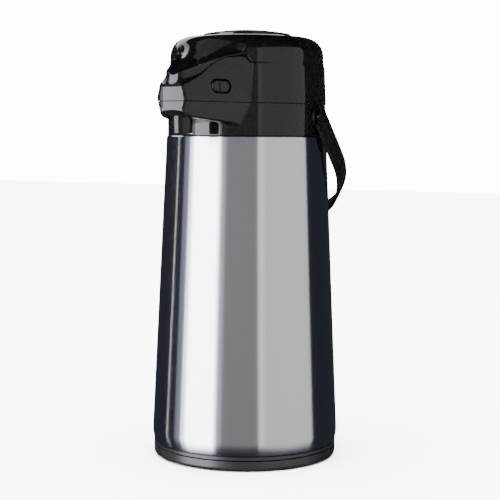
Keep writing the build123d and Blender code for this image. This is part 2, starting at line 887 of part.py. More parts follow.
with BuildPart() as lid_shell:
    add(high_beak)
    turned(
        [(0, lid_low), (lid_radius, lid_low), (lid_top_radius, lid_high), (0, lid_high)],
        {2: lid_shoulder},
    )
    turned(
        [
            (0, lid_low),
            (lid_radius - head_wall, lid_low),
            (lid_top_radius - head_wall, lid_high - head_wall),
            (0, lid_high - head_wall),
        ],
        {2: lid_shoulder - head_wall},
        Mode.SUBTRACT,
    )
    add(high_beak_core, mode=Mode.SUBTRACT)
    ring(well_radius, well_radius + well_wall, well_low, lid_high - head_wall)
    ring(0, well_radius, well_low, lid_high, Mode.SUBTRACT)
    ring(
        well_radius - stop_width,
        well_radius + well_wall,
        skirt_low + guide_height + leg_gap,
        skirt_low + guide_height + leg_gap + stop_height,
    )
    with BuildSketch(Plane.XY.offset(plate_high)):
        with Locations(*boss_points):
            Circle(lid_boss_radius)
    extrude(amount=lid_high - head_wall - plate_high)
    with BuildSketch(Plane.XY.offset(plate_high)):
        with Locations(*boss_points):
            Circle(screw_radius)
    extrude(amount=screw_length, mode=Mode.SUBTRACT)
    add(latch_rib_block.part)
    add(mirror(latch_rib_block.part, about=Plane.YZ))
    add(latch_hole.part, mode=Mode.SUBTRACT)
    add(mirror(latch_hole.part, about=Plane.YZ), mode=Mode.SUBTRACT)
    with BuildSketch(Plane.YZ.offset(-knuckle_half)):
        with BuildLine():
            Polyline(
                (lid_radius - head_wall, lid_low),
                (hinge_reach - knuckle_radius + slack, lid_low),
                (hinge_reach - knuckle_radius + slack, hinge_level),
                (hinge_reach + knuckle_radius - slack, hinge_level),
                (hinge_reach, lid_low + knuckle_radius),
                (lid_radius - head_wall, lid_low + knuckle_radius),
                close=True,
            )
        make_face()
        with Locations((hinge_reach, hinge_level)):
            Circle(knuckle_radius)
            Circle(hinge_pin_radius + hinge_clearance, mode=Mode.SUBTRACT)
    extrude(amount=2 * knuckle_half)

lid_shell.part.label = "lid_shell"
export_step(lid_shell.part, "parts/lid_shell.step")

# ---- hinge pin ----
with BuildPart() as hinge_pin:
    with BuildSketch(Plane.YZ.offset(-knuckle_outer)):
        with Locations((hinge_reach, hinge_level)):
            Circle(hinge_pin_radius)
    extrude(amount=2 * knuckle_outer)
    with BuildSketch(Plane.YZ.offset(knuckle_outer)):
        with Locations((hinge_reach, hinge_level)):
            Circle(pin_head_radius)
    extrude(amount=pin_head)

hinge_pin.part.label = "hinge_pin"
export_step(hinge_pin.part, "parts/hinge_pin.step")

# ---- lid plate, its gasket and screws ----
plate_radius = lid_radius - head_wall - lid_draft * plate_lift / lid_height - plate_slack
port_gasket_high = air_port_high + lid_gasket_thickness

with BuildPart() as lid_plate:
    ring(0, plate_radius, plate_low, plate_high)
    with BuildSketch(Plane.XY.offset(port_gasket_high)):
        with Locations((0, air_port_offset)):
            Circle(air_port_radius)
    extrude(amount=plate_low - port_gasket_high)
    with BuildSketch(Plane.XY.offset(port_gasket_high)):
        with Locations((0, air_port_offset)):
            Circle(air_port_bore)
        with Locations(*boss_points):
            Circle(screw_radius)
    extrude(amount=plate_high - port_gasket_high, mode=Mode.SUBTRACT)

lid_plate.part.label = "lid_plate"
export_step(lid_plate.part, "parts/lid_plate.step")

with BuildPart() as lid_gasket:
    with BuildSketch(Plane.XY.offset(air_port_high)):
        with Locations((0, air_port_offset)):
            Circle(air_port_radius)
            Circle(air_port_bore, mode=Mode.SUBTRACT)
    extrude(amount=lid_gasket_thickness)

lid_gasket.part.label = "lid_gasket"
export_step(lid_gasket.part, "parts/lid_gasket.step")

lid_screws = screws(boss_points, plate_low, True)
lid_screws.part.label = "lid_screws"
export_step(lid_screws.part, "parts/lid_screws.step")

# ---- pump: bellows, return spring, bellows plate, air valve and button ----
pleat = (bellows_high - plate_high) / bellows_pleats
folds = [(bellows_valley, plate_high)]
for k in range(bellows_pleats):
    folds.append((bellows_radius, plate_high + (k + 0.5) * pleat))
    folds.append((bellows_valley, plate_high + (k + 1) * pleat))
inside = [(radius - bellows_wall, height) for radius, height in reversed(folds)]

with BuildPart() as bellows:
    turned(folds + inside, {})

bellows.part.label = "bellows"
export_step(bellows.part, "parts/bellows.step")

return_spring = coil(
    spring_radius, spring_wire, plate_high + spring_slack, bellows_high - spring_slack, spring_turns
)
return_spring.label = "return_spring"
export_step(return_spring, "parts/return_spring.step")

plate_top = bellows_high + bellows_plate_thickness

with BuildPart() as bellows_plate:
    ring(air_hole, bellows_radius + bellows_rim, bellows_high, plate_top)

bellows_plate.part.label = "bellows_plate"
export_step(bellows_plate.part, "parts/bellows_plate.step")

with BuildPart() as air_valve:
    ring(0, valve_flap_radius, bellows_high - valve_flap_thickness, bellows_high)

air_valve.part.label = "air_valve"
export_step(air_valve.part, "parts/air_valve.step")


def dome_arc(radius, low, rise):
    """Arc from the axis at the top of a dome to its edge."""
    bend = (radius**2 + rise**2) / (2 * rise)
    half_way = low + rise - bend + math.sqrt(bend**2 - radius**2 / 4)
    return ThreePointArc((0, low + rise), (radius / 2, half_way), (radius, low))


button_inner = button_radius - button_wall

with BuildPart() as pump_button:
    with BuildSketch(Plane.XZ):
        with BuildLine():
            dome_arc(button_radius, button_rim, button_crown)
            Polyline(
                (button_radius, button_rim),
                (button_radius, skirt_low),
                (button_inner, skirt_low),
                (button_inner, button_rim - button_wall),
            )
            dome_arc(button_inner, button_rim - button_wall, button_crown)
            Line((0, button_rim + button_crown - button_wall), (0, button_rim + button_crown))
        make_face()
    revolve(axis=Axis.Z)
    ring(button_inner, well_radius - guide_clearance, skirt_low, skirt_low + guide_height)
    ring(stem_radius - button_wall, stem_radius, plate_top, button_rim + button_wall)

pump_button.part.label = "pump_button"
export_step(pump_button.part, "parts/pump_button.step")

# ---- latch buttons in the sides of the beak, and their springs ----
leg_low = -latch_lift - latch_leg_drop

with BuildPart() as latch_right:
    with BuildSketch(latch_plane.offset(-latch_depth)):
        SlotOverall(latch_length, latch_width)
    extrude(amount=latch_depth + latch_proud)
    with BuildSketch(latch_plane.offset(-latch_depth)):
        with Locations((0, (latch_leg_rise + leg_low) / 2)):
            Rectangle(latch_leg_length, latch_leg_rise - leg_low)
    extrude(amount=-latch_leg)
    with BuildSketch(latch_plane.offset(-latch_depth)):
        with Locations((0, leg_low + tooth)):
            Rectangle(latch_leg_length, 2 * tooth - 2 * slack)
    extrude(amount=tooth)

latch_button_right = latch_right.part
latch_button_right.label = "latch_button_right"
export_step(latch_button_right, "parts/latch_button_right.step")
latch_button_left = mirror(latch_button_right, about=Plane.YZ)
latch_button_left.label = "latch_button_left"
export_step(latch_button_left, "parts/latch_button_left.step")

latch_coil = coil(latch_spring_radius, latch_spring_wire, 0, latch_spring_length, latch_spring_turns)
spring_plane = latch_plane.offset(-rib_depth + slack / 2)
latch_spring_right = spring_plane.location * latch_coil
latch_spring_right.label = "latch_spring_right"
export_step(latch_spring_right, "parts/latch_spring_right.step")
latch_spring_left = mirror(latch_spring_right, about=Plane.YZ)
latch_spring_left.label = "latch_spring_left"
export_step(latch_spring_left, "parts/latch_spring_left.step")

# ---- carrying handle and its pivot pins ----
handle_out = handle_radius + strap_thickness / 2
handle_in = handle_radius - strap_thickness / 2
bow_reach = handle_arm + handle_in
casing_slope = (casing_base_radius - casing_top_radius) / (casing_height - curl_height)
along = bow_reach - casing_slope * strap_width / 2
across = strap_width / 2 + casing_slope * bow_reach
rest_reach = casing_radius(pivot_level) + handle_rest
hang = math.atan2(across, along) + math.asin(rest_reach / math.hypot(along, across))
handle_plane = Plane(
    origin=(0, 0, pivot_level), x_dir=(1, 0, 0), z_dir=(0, math.cos(hang), math.sin(hang))
)

with BuildPart() as handle:
    with BuildSketch(handle_plane):
        with BuildLine():
            Line((-handle_out, 0), (-handle_out, handle_arm))
            ThreePointArc((-handle_out, handle_arm), (0, handle_arm + handle_out), (handle_out, handle_arm))
            Polyline((handle_out, handle_arm), (handle_out, 0), (handle_in, 0), (handle_in, handle_arm))
            ThreePointArc((handle_in, handle_arm), (0, handle_arm + handle_in), (-handle_in, handle_arm))
            Polyline((-handle_in, handle_arm), (-handle_in, 0), (-handle_out, 0))
        make_face()
    extrude(amount=strap_width / 2, both=True)
    for side in sides:
        with BuildSketch(Plane.YZ.offset(side * handle_in)):
            with Locations((0, pivot_level)):
                Circle(strap_width / 2)
        extrude(amount=side * strap_thickness)
        with BuildSketch(Plane.YZ.offset(side * handle_in)):
            with Locations((0, pivot_level)):
                Circle(pivot_radius - fixed_fit + pivot_clearance)
        extrude(amount=side * strap_thickness, mode=Mode.SUBTRACT)
        with BuildSketch(Plane.YZ.offset(side * handle_out)):
            with Locations((0, pivot_level)):
                Circle(pivot_head_radius + boss_gap)
        extrude(amount=-side * pivot_sink, mode=Mode.SUBTRACT)

handle.part.label = "handle"
export_step(handle.part, "parts/handle.step")

head_seat = handle_out - pivot_sink + slack

with BuildPart() as handle_pin_right:
    with BuildSketch(Plane.YZ.offset(collar_radius - boss_depth)):
        with Locations((0, pivot_level)):
            Circle(pivot_radius - fixed_fit)
    extrude(amount=head_seat - collar_radius + boss_depth)
    with BuildSketch(Plane.YZ.offset(head_seat)):
        with Locations((0, pivot_level)):
            Circle(pivot_head_radius)
    extrude(amount=pivot_head)

handle_pin_right.part.label = "handle_pin_right"
export_step(handle_pin_right.part, "parts/handle_pin_right.step")

with BuildPart() as handle_pin_left:
    add(mirror(handle_pin_right.part, about=Plane.YZ))

handle_pin_left.part.label = "handle_pin_left"
export_step(handle_pin_left.part, "parts/handle_pin_left.step")
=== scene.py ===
import bpy
import bmesh
import math
from mathutils import Matrix, Vector


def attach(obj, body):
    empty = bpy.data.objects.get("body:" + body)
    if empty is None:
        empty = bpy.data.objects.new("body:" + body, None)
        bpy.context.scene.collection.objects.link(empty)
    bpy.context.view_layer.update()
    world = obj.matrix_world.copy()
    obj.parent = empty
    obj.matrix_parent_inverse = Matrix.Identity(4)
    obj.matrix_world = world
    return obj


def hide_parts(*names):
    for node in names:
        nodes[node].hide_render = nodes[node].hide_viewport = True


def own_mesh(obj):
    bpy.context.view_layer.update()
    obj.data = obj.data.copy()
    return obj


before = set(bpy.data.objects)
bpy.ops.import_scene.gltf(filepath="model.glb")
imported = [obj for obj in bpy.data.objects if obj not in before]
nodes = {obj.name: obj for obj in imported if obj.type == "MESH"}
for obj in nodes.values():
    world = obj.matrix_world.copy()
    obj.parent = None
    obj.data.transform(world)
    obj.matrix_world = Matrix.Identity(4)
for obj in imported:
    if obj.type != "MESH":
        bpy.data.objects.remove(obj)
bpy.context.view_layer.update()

# ---- Camera ----
# It stands a little over a metre off, to the right of the beak, level with the top of the casing,
# and looks slightly down.
camera_turn = math.radians(31.0)
camera_pitch = math.radians(4.70)
camera_roll = 0.0067
eye = Matrix.Rotation(camera_turn, 4, "Z") @ Vector((0.0038, -1.181, 0.280))
camera = bpy.data.objects.new("camera", bpy.data.cameras.new("camera"))
bpy.context.scene.collection.objects.link(camera)
camera.data.sensor_width = 36
camera.data.lens = 94.97
camera.matrix_world = (
    Matrix.Translation(eye)
    @ Matrix.Rotation(camera_turn, 4, "Z")
    @ Matrix.Rotation(math.pi / 2 - camera_pitch, 4, "X")
    @ Matrix.Rotation(camera_roll, 4, "Z")
)
bpy.context.scene.camera = camera


# ---- Steel casing ----
# One tapered tube of 0.6 mm stainless sheet, drawn and then brushed round and round on a lathe.
# Its bottom edge is curled in under the body and its top edge is rolled into the collar.
def linear(code):
    """Linear colour of an sRGB hex code."""
    parts = [int(code[k : k + 2], 16) / 255 for k in (1, 3, 5)]
    return [c / 12.92 if c <= 0.04045 else ((c + 0.055) / 1.055) ** 2.4 for c in parts] + [1.0]


def add_node(tree, kind, settings=None, values=None, links=None):
    """Adds a node with its settings, its socket values and the outputs that feed its sockets."""
    node = tree.nodes.new(kind)
    for key, value in (settings or {}).items():
        setattr(node, key, value)
    for key, value in (values or {}).items():
        node.inputs[key].default_value = value
    for key, output in (links or {}).items():
        tree.links.new(output, node.inputs[key])
    return node


def turned(outline, rounds, steps=160):
    """A closed outline of (radius, height) points in mm, some corners rounded, spun about the axis."""
    shape = bmesh.new()
    corners = [shape.verts.new((radius, 0, height)) for radius, height in outline]
    shape.faces.new(corners)
    for index, radius in rounds.items():
        bmesh.ops.bevel(
            shape, geom=[corners[index]], offset=radius, segments=5, profile=0.5,
            affect="VERTICES", material=-1,
        )
    bmesh.ops.delete(shape, geom=shape.faces[:], context="FACES_ONLY")
    bmesh.ops.spin(
        shape, geom=shape.verts[:] + shape.edges[:], cent=(0, 0, 0), axis=(0, 0, 1),
        angle=2 * math.pi, steps=steps, use_merge=True,
    )
    bmesh.ops.remove_doubles(shape, verts=shape.verts[:], dist=0.001)
    bmesh.ops.recalc_face_normals(shape, faces=shape.faces[:])
    return shape


def settle(shape, name, body, material, stands_for=(), crease=32):
    """Turns a shape in mm into a finished piece on its body."""
    bmesh.ops.scale(shape, vec=(0.001, 0.001, 0.001), verts=shape.verts[:])
    for face in shape.faces:
        face.smooth = True
    for edge in shape.edges:
        edge.smooth = edge.calc_face_angle(0) < math.radians(crease)
    mesh = bpy.data.meshes.new(name)
    shape.to_mesh(mesh)
    shape.free()
    mesh.materials.append(material)
    piece = bpy.data.objects.new(name, mesh)
    bpy.context.scene.collection.objects.link(piece)
    even = piece.modifiers.new("even_shading", "WEIGHTED_NORMAL")
    even.keep_sharp = True
    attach(piece, body)
    if stands_for:
        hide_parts(*stands_for)
    return piece


def brushed(name, colour, low, high, line_mm, stretch, depth_mm):
    """Metal brushed round the axis: lines line_mm apart that run stretch times as far as they are wide."""
    material = bpy.data.materials.new(name)
    material.use_nodes = True
    tree = material.node_tree
    shader = tree.nodes["Principled BSDF"]
    shader.inputs["Base Color"].default_value = linear(colour)
    shader.inputs["Metallic"].default_value = 1.0
    shader.inputs["Anisotropic"].default_value = 0.95
    shader.inputs["Anisotropic Rotation"].default_value = 0.25
    place = add_node(tree, "ShaderNodeTexCoord")
    axes = add_node(tree, "ShaderNodeSeparateXYZ", links={"Vector": place.outputs["Object"]})
    angle = add_node(
        tree, "ShaderNodeMath", {"operation": "ARCTAN2"}, links={0: axes.outputs["Y"], 1: axes.outputs["X"]}
    )
    round_way = add_node(
        tree, "ShaderNodeMath", {"operation": "MULTIPLY"}, {1: 0.08 / stretch}, {0: angle.outputs[0]}
    )
    unrolled = add_node(
        tree, "ShaderNodeCombineXYZ", links={"X": round_way.outputs[0], "Z": axes.outputs["Z"]}
    )
    lines = add_node(
        tree, "ShaderNodeTexNoise", values={"Scale": 1000 / line_mm, "Detail": 6.0, "Roughness": 0.6},
        links={"Vector": unrolled.outputs[0]},
    )
    streaks = add_node(
        tree, "ShaderNodeTexNoise", values={"Scale": 90.0, "Detail": 2.0},
        links={"Vector": unrolled.outputs[0]},
    )
    blend = add_node(
        tree, "ShaderNodeMath", {"operation": "MULTIPLY_ADD"}, {1: 0.35},
        {0: streaks.outputs["Fac"], 2: lines.outputs["Fac"]},
    )
    add_rough = add_node(
        tree, "ShaderNodeMapRange",
        values={"From Min": 0.4, "From Max": 1.0, "To Min": low, "To Max": high},
        links={"Value": blend.outputs[0]},
    )
    grooves = add_node(
        tree, "ShaderNodeBump", values={"Strength": 0.35, "Distance": depth_mm / 1000},
        links={"Height": lines.outputs["Fac"]},
    )
    brushing = add_node(tree, "ShaderNodeTangent", {"direction_type": "RADIAL", "axis": "Z"})
    tree.links.new(add_rough.outputs[0], shader.inputs["Roughness"])
    tree.links.new(grooves.outputs[0], shader.inputs["Normal"])
    tree.links.new(brushing.outputs[0], shader.inputs["Tangent"])
    return material


# Stainless steel, satin brushed: real grit lines are 0.05 mm apart and are drawn 0.5 mm apart so
# that they show; they stretch a light up and down the wall and keep its sides sharp.
brushed_steel = brushed("stainless_steel_brushed", "#c4c5c8", 0.16, 0.24, 0.5, 30, 0.01)
settle(
    turned(
        [
            (76.0, 13.0), (81.3, 13.0), (83.2, 19.6), (71.0, 284.8), (67.0, 284.8),
            (67.0, 284.2), (70.4, 284.2), (82.6, 19.6), (80.8, 13.6), (76.0, 13.6),
        ],
        {1: 0.9, 2: 5.0, 3: 1.4, 6: 0.8, 7: 5.0, 8: 0.5},
        steps=192,
    ),
    "steel_casing", "casing", brushed_steel, ["steel_shell"],
)


# ---- Foot, glide ring and base cap ----
# The foot is a shallow black moulded ring with a rubber ring let into its underside; the body turns
# on it over a slippery glide ring, and a groove of 0.8 mm shows between foot and base cap.
def moulded(name, colour, mottle, low, high, grain_mm, depth_mm, ior=1.5, shine=0.5):
    """Moulded plastic or rubber: a faint mottle in its colour, a grain in its surface."""
    material = bpy.data.materials.new(name)
    material.use_nodes = True
    tree = material.node_tree
    shader = tree.nodes["Principled BSDF"]
    shader.inputs["IOR"].default_value = ior
    shader.inputs["Specular IOR Level"].default_value = shine
    place = add_node(tree, "ShaderNodeTexCoord")
    flow = add_node(
        tree, "ShaderNodeTexNoise", values={"Scale": 40.0, "Detail": 4.0},
        links={"Vector": place.outputs["Object"]},
    )
    tint = add_node(tree, "ShaderNodeValToRGB", links={"Fac": flow.outputs["Fac"]})
    tint.color_ramp.elements[0].color = linear(colour)
    tint.color_ramp.elements[1].color = linear(mottle)
    gloss = add_node(
        tree, "ShaderNodeMapRange", values={"From Min": 0.3, "From Max": 0.7, "To Min": low, "To Max": high},
        links={"Value": flow.outputs["Fac"]},
    )
    grain = add_node(
        tree, "ShaderNodeTexNoise", values={"Scale": 1000 / grain_mm, "Detail": 2.0},
        links={"Vector": place.outputs["Object"]},
    )
    dimples = add_node(
        tree, "ShaderNodeBump", values={"Strength": 0.5, "Distance": depth_mm / 1000},
        links={"Height": grain.outputs["Fac"]},
    )
    tree.links.new(tint.outputs[0], shader.inputs["Base Color"])
    tree.links.new(gloss.outputs[0], shader.inputs["Roughness"])
    tree.links.new(dimples.outputs[0], shader.inputs["Normal"])
    return material


# Polypropylene, moulded in a lightly eroded tool: a soft sheen with no clear reflections.
satin_black = moulded("polypropylene_satin_black", "#101011", "#171718", 0.30, 0.42, 0.9, 0.01, 1.49)
# Natural rubber, pressed: dull and slightly grey where it wears.
rubber = moulded("rubber_pressed_black", "#161616", "#222120", 0.7, 0.85, 0.6, 0.02, 1.52)
# Polyacetal, moulded: slightly waxy and off-white.
acetal = moulded("polyacetal_moulded_white", "#d8d6cf", "#e4e2dc", 0.3, 0.4, 1.2, 0.005, 1.48)
settle(
    turned(
        [
            (62.0, 0.8), (65.0, 0.8), (65.0, 2.0), (75.8, 2.0), (75.8, 0.8), (81.8, 0.8), (81.8, 9.4),
            (79.3, 9.4), (79.3, 3.3), (64.5, 3.3), (64.5, 7.0), (52.0, 7.0), (52.0, 4.5), (62.0, 4.5),
        ],
        {5: 3.0, 6: 0.5, 7: 0.3, 8: 0.8, 9: 0.8},
    ),
    "swivel_foot", "foot", satin_black, ["foot_ring"],
)
nodes["foot_pad_ring"].data.materials[0] = rubber
nodes["glide_ring"].data.materials[0] = acetal
nodes["base_cap"].data.materials[0] = satin_black
nodes["swivel_retainer"].data.materials[0] = satin_black


# ---- Collar and the lower half of the beak ----
# One glossy black moulding: a ring on top of the casing, whose front runs out into the lower half
# of the beak, with flat spreading sides, rounded under, and a bowed front face.
collar_radius = 70.0
seam_low = 312.2  # top of the collar; the lid starts 0.6 mm above it
pivot_height = 301.5
hinge_line = (75.2, 309.0)  # y and z of the lid's hinge pin


def between(table, value):
    """Value on the straight line between two rows of a table of (place, value) pairs."""
    if value <= table[0][0]:
        return table[0][1]
    for (a, at_a), (b, at_b) in zip(table, table[1:]):
        if value <= b:
            share = (value - a) / (b - a)
            return at_a + (at_b - at_a) * share
    return table[-1][1]


def union(a, b, ease):
    """The larger of two radii, with a hollow fillet where they meet."""
    share = min(max(0.5 + 0.5 * (a - b) / ease, 0.0), 1.0)
    return b + (a - b) * share + ease * share * (1 - share)


# The beak's sides spread by this angle from the middle plane; the latch buttons lie in them.
side_spread = math.radians(21)
side_slope = 0.3839  # tangent of side_spread


def beak_radius(turn, inset, lean):
    """Distance from the axis to the beak's front or side at an angle from the front, without the ring."""
    if abs(turn) > 1.0:
        return 0.0
    side = (60.7 - (inset + lean) / math.cos(side_spread)) / (
        math.sin(abs(turn)) + side_slope * math.cos(turn)
    )
    front = (119.6 - inset - 1.8 * (math.tan(turn) / 0.1256) ** 2) / math.cos(turn)
    return -union(-front, -side, 4.6)


def curve(start, bend, end, share):
    """Point on a curve from start to end that leaves and arrives towards bend."""
    rest = 1 - share
    return [rest * rest * a + 2 * rest * share * b + share * share * c for a, b, c in zip(start, bend, end)]


# Edges that turn by more degrees than this stay sharp on the collar and the lid.
rim_crease = 40


def thicken(piece):
    """Gives an open skin its 2.6 mm wall, inwards, ahead of its shading."""
    wall = piece.modifiers.new("wall", "SOLIDIFY")
    wall.thickness = 0.0026
    wall.offset = -1
    piece.modifiers.move(1, 0)


def firm_up(piece, crease):
    """Bakes a piece's modifiers into its mesh and marks its sharp edges anew."""
    bpy.context.view_layer.update()
    baked = bpy.data.meshes.new_from_object(piece.evaluated_get(bpy.context.evaluated_depsgraph_get()))
    piece.modifiers.clear()
    shape = bmesh.new()
    shape.from_mesh(baked)
    for edge in shape.edges:
        edge.smooth = edge.calc_face_angle(0) < math.radians(crease)
    shape.to_mesh(baked)
    shape.free()
    piece.data = baked
    piece.modifiers.new("even_shading", "WEIGHTED_NORMAL").keep_sharp = True


def head_sheet(rows, column, fine=0.75, coarse=4.5, sector=42.0):
    """Ring of columns about the axis, close together round the beak; column(turn) gives their points."""
    shape = bmesh.new()
    ladder = [shape.verts.new((0, -1, k)) for k in range(rows)]
    rungs = [shape.edges.new(pair) for pair in zip(ladder, ladder[1:])]
    bmesh.ops.rotate(
        shape, verts=ladder, cent=(0, 0, 0), matrix=Matrix.Rotation(-math.radians(sector), 3, "Z")
    )
    last = ladder + rungs
    for span, step in ((2 * sector, fine), (360 - 2 * sector, coarse)):
        result = bmesh.ops.spin(
            shape, geom=last, cent=(0, 0, 0), axis=(0, 0, 1), angle=math.radians(span),
            steps=round(span / step),
        )
        last = result["geom_last"]
    bmesh.ops.remove_doubles(shape, verts=shape.verts[:], dist=0.0001)
    for vert in shape.verts:
        turn = math.atan2(vert.co.x, -vert.co.y)
        radius, height = column(turn)[round(vert.co.z)]
        vert.co = (radius * math.sin(turn), -radius * math.cos(turn), height)
    bmesh.ops.recalc_face_normals(shape, faces=shape.faces[:])
    wall_face = max(shape.faces, key=lambda face: face.calc_center_median().xy.length)
    if wall_face.normal.xy.dot(wall_face.calc_center_median().xy) < 0:
        bmesh.ops.reverse_faces(shape, faces=shape.faces[:])
    return shape


# Lower edge of the side face, by the angle from the front.
beak_sill = (
    (0, 300.6), (4, 300.2), (7, 299.2), (12, 297.6), (16, 296.6), (25, 294.6), (31, 293.6), (60, 292.6)
)
# Radius of that edge: large under the nose, small along the sides.
beak_rounding = ((0, 7.0), (4, 6.6), (8, 4.0), (14, 2.4), (60, 2.0))


def collar_column(turn):
    """Section of the collar's outside from the seam down to the casing, at an angle from the front."""
    sill = between(beak_sill, abs(math.degrees(turn)))
    rounding = between(beak_rounding, abs(math.degrees(turn)))
    points = []
    for k in range(8):
        height = seam_low - (seam_low - sill - rounding) * k / 7
        lean = (seam_low - height) * 0.28
        points.append((union(beak_radius(turn, 0.4, lean), collar_radius, 1.6), height))
    edge = points[-1]
    reach = edge[0] - collar_radius
    foot = (collar_radius, sill - 1.5 - 0.06 * reach)
    soffit = (edge[0] - min(rounding + 0.6, reach * 0.5), sill - 0.25)
    for k in range(1, 7):
        points.append(curve(edge, (edge[0] - 0.1 * rounding, sill + 0.1 * rounding), soffit, k / 6))
    for k in range(1, 8):
        points.append(curve(soffit, (collar_radius + 0.12 * reach, foot[1] + 0.6), foot, k / 7))
    points.append((collar_radius, 288.0))
    points.append((collar_radius, 285.2))
    points.append((69.6, 284.8))
    return points


# ABS, moulded in a polished tool: near-black with mirror-like but slightly wavy reflections.
gloss_black = moulded("abs_polished_black", "#050505", "#080808", 0.04, 0.07, 12.0, 0.004, 1.54, 0.3)
collar_skin = settle(
    head_sheet(24, collar_column), "collar_moulding", "casing", gloss_black, ["collar"],
    crease=rim_crease,
)
thicken(collar_skin)
firm_up(collar_skin, rim_crease)

settle(
    turned(
        [
            (37.0, 286.0), (64.0, 286.0), (64.0, 276.8), (66.5, 276.8), (66.5, 286.0), (68.4, 286.0),
            (68.4, 288.5), (37.0, 288.5),
        ],
        {7: 0.8},
    ),
    "collar_deck", "casing", gloss_black,
)


def barrel(radius, low, high, centre, along, edge, steps=48):
    """Short round bar in mm along an axis, with rounded rims."""
    shape = bmesh.new()
    bmesh.ops.create_cone(
        shape, cap_ends=True, segments=steps, radius1=radius, radius2=radius, depth=high - low,
        matrix=Matrix.Translation((0, 0, (low + high) / 2)),
    )
    rims = [e for e in shape.edges if e.calc_face_angle(0) > 1]
    bmesh.ops.bevel(shape, geom=rims, offset=edge, segments=3, profile=0.5, affect="EDGES", material=-1)
    swing = {"X": Matrix.Rotation(math.pi / 2, 4, "Y"), "Z": Matrix.Identity(4)}[along]
    bmesh.ops.transform(shape, matrix=Matrix.Translation(centre) @ swing, verts=shape.verts[:])
    return shape


for side, place in ((1, "right"), (-1, "left")):
    ends = sorted((side * 60.0, side * 72.2))
    settle(
        barrel(8.2, ends[0], ends[1], (0, 0, pivot_height), "X", 0.8),
        f"pivot_boss_{place}", "casing", gloss_black,
    )
    ends = sorted((side * 12.0, side * 22.0))
    settle(
        barrel(4.5, ends[0], ends[1], (0, *hinge_line), "X", 0.5),
        f"hinge_knuckle_{place}", "casing", gloss_black,
    )

# ---- Lid with the upper half of the beak ----
# A deep glossy cap with a rounded shoulder. Its front is drawn out over the spout: the side faces
# lean in, a raised brow runs round the nose in a U, and the top inside it is scooped like a spoon.
seam_high = 312.8
lid_low_radius = 70.6
lid_top_radius = 67.8
shoulder_radius = 16.0
shoulder_centre = 51.8
shoulder_height = 355.0
lid_rise = 58.2  # from the seam to the rim of the well
plain_angle = 35  # where the scoop gives way to the plain shoulder, in degrees above level

# Top of the side face and top of the brow, by the angle from the front: (degrees, height or radius).
face_top = (
    (0, 323.3), (5, 324.4), (7, 327.6), (9.5, 333.4), (12, 340.6), (15, 346.0), (19, 349.4), (28, 350.6),
    (31, 349.0), (33, 345.0), (60, 345.0),
)
brow_height = (
    (0, 333.4), (2.2, 334.8), (4.4, 337.2), (7.8, 341.2), (11.7, 345.9), (18.1, 351.0), (27, 353.4),
    (33, 355.0),
)
brow_radius = (
    (0, 116.4), (2.2, 115.8), (4.4, 113.6), (7.8, 102.9), (11.7, 91.6), (18.1, 77.4), (27, 68.9), (34, 67.9)
)


def shoulder(rise):
    """Point on the lid's round shoulder, rise radians above level."""
    return (
        shoulder_centre + shoulder_radius * math.cos(rise), shoulder_height + shoulder_radius * math.sin(rise)
    )


def lid_column(turn):
    """Section of the lid's outside from the seam over the shoulder and down the button's well."""
    away = abs(math.degrees(turn))
    top = between(face_top, away)
    points = []
    for k in range(9):
        height = seam_high + (top - seam_high) * k / 8
        ring = lid_low_radius - 2.8 * (height - seam_high) / lid_rise
        lean = max(height - 316.0, 0) * 0.25 * max(1 - max(away - 8, 0) / 24, 0)
        points.append((union(beak_radius(turn, 0, lean), ring, 1.6), height))
    face_edge = points[-1]
    share = min(max((away - 24.0) / 10.0, 0.0), 1.0)
    share = share * share * (3 - 2 * share)
    brow = (
        between(brow_radius, away) * (1 - share) + lid_top_radius * share,
        between(brow_height, away) * (1 - share) + shoulder_height * share,
    )
    cove_share = min(max((away - 3.5) / 6.0, 0.0), 1.0)
    depth = min(2.2, 0.3 * (brow[1] - face_edge[1])) * (1 - share) * cove_share - 1.6 * (1 - cove_share)
    cove = (min(brow[0], face_edge[0]) - depth, face_edge[1] + 0.25 * (brow[1] - face_edge[1]))
    for k in range(1, 7):
        points.append(curve(face_edge, cove, brow, k / 6))
    join = shoulder(math.radians(plain_angle))
    span = math.hypot(brow[0] - join[0], brow[1] - join[1])
    for k in range(1, 10):
        s = k / 9
        plain = shoulder(math.radians(plain_angle * s))
        lip = (brow[0] - 0.45 * span, brow[1] - 0.06 * span)
        hollow = (join[0] + 0.57 * 0.3 * span, join[1] - 0.82 * 0.3 * span)
        rest = 1 - s
        scoop = [
            rest**3 * a + 3 * rest * rest * s * b + 3 * rest * s * s * c + s**3 * d
            for a, b, c, d in zip(brow, lip, hollow, join)
        ]
        points.append([a * (1 - share) + b * share for a, b in zip(scoop, plain)])
    for k in range(1, 8):
        points.append(shoulder(math.radians(plain_angle + (90 - plain_angle) * k / 7)))
    points.append((46.0, 371.0))
    points.append((41.2, 371.0))
    points.append((40.35, 370.65))
    points.append((40.0, 369.8))
    points.append((40.0, 345.0))
    points.append((40.0, 321.2))
    return points


lid_skin = settle(
    head_sheet(37, lid_column), "lid_moulding", "lid", gloss_black, ["lid_shell"],
    crease=rim_crease,
)
thicken(lid_skin)

settle(
    barrel(4.5, -11.7, 11.7, (0, *hinge_line), "X", 0.5),
    "lid_knuckle", "lid", gloss_black,
)
web = bmesh.new()
bmesh.ops.create_cube(web, size=1.0)
bmesh.ops.scale(web, vec=(23.4, 6.4, 4.4), verts=web.verts[:])
bmesh.ops.translate(web, vec=(0, 71.9, 315.2), verts=web.verts[:])
bmesh.ops.bevel(web, geom=web.edges[:], offset=0.5, segments=3, profile=0.5, affect="EDGES", material=-1)
settle(web, "lid_hinge_web", "lid", gloss_black)

